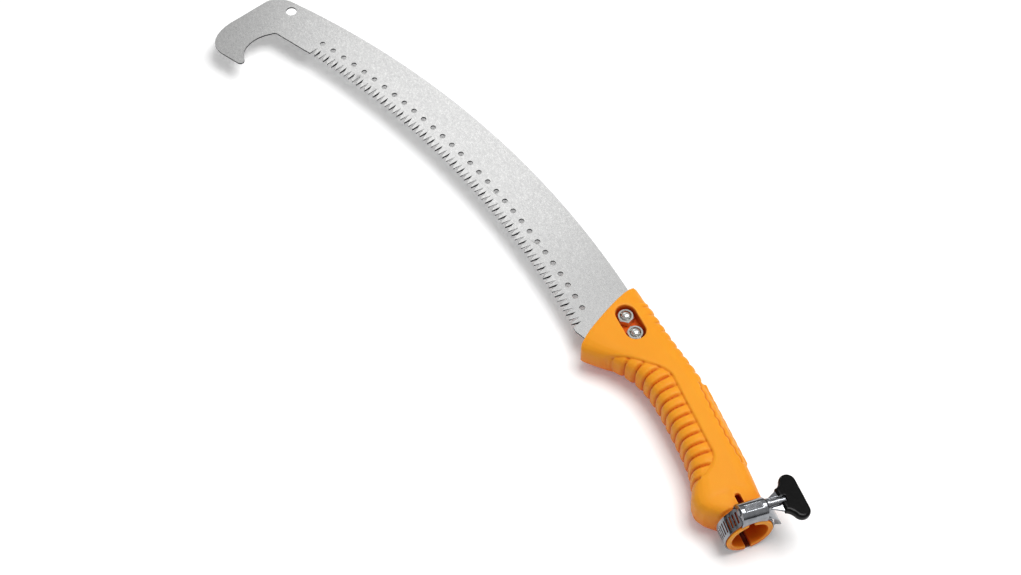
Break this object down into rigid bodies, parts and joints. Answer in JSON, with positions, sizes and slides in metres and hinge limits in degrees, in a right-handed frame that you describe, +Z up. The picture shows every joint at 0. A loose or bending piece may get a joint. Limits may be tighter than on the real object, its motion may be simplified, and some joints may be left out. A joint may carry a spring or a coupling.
{
  "type": "pole saw head",
  "caption": "Curved pull-cut pruning blade with a hooked toe, bolted into a moulded handle whose split socket is clamped on a pole by a worm-drive band with a thumb turn.",
  "frame": {"origin": "middle of the underside of the whole head's box, lying flat on the saw's lower side", "axes": "+X along the pole socket from its rim towards the blade, +Y the cutting side, +Z up, square to the blade"},
  "size_m": [0.5276, 0.223, 0.0414],
  "materials": {
    "blade_steel": "ground satin saw steel",
    "handle_plastic": "orange moulded plastic, satin",
    "plated_steel": "bright zinc plate",
    "turn_plastic": "black gloss moulding"
  },
  "bodies": {
    "head": {"saw_blade": "blade_steel", "handle_body": "handle_plastic", "blade_bolt_rear": "plated_steel", "blade_bolt_front": "plated_steel", "blade_nut_rear": "plated_steel", "blade_nut_front": "plated_steel"},
    "clamp": {"clamp_band": "plated_steel", "clamp_housing": "plated_steel"},
    "worm": {"worm_screw": "plated_steel", "screw_key": "plated_steel", "thumb_turn": "turn_plastic"}
  },
  "joints": [
    {"name": "clamp_swivel", "type": "hinge", "parent": "head", "child": "clamp", "pos_m": [-0.24796, -0.0749, 0.0165], "axis": [1, 0, 0], "continuous": true},
    {"name": "screw_turn", "type": "hinge", "parent": "clamp", "child": "worm", "pos_m": [-0.24796, -0.07773, 0.0366], "axis": [0, -0.9903, -0.1392], "continuous": true}
  ]
}
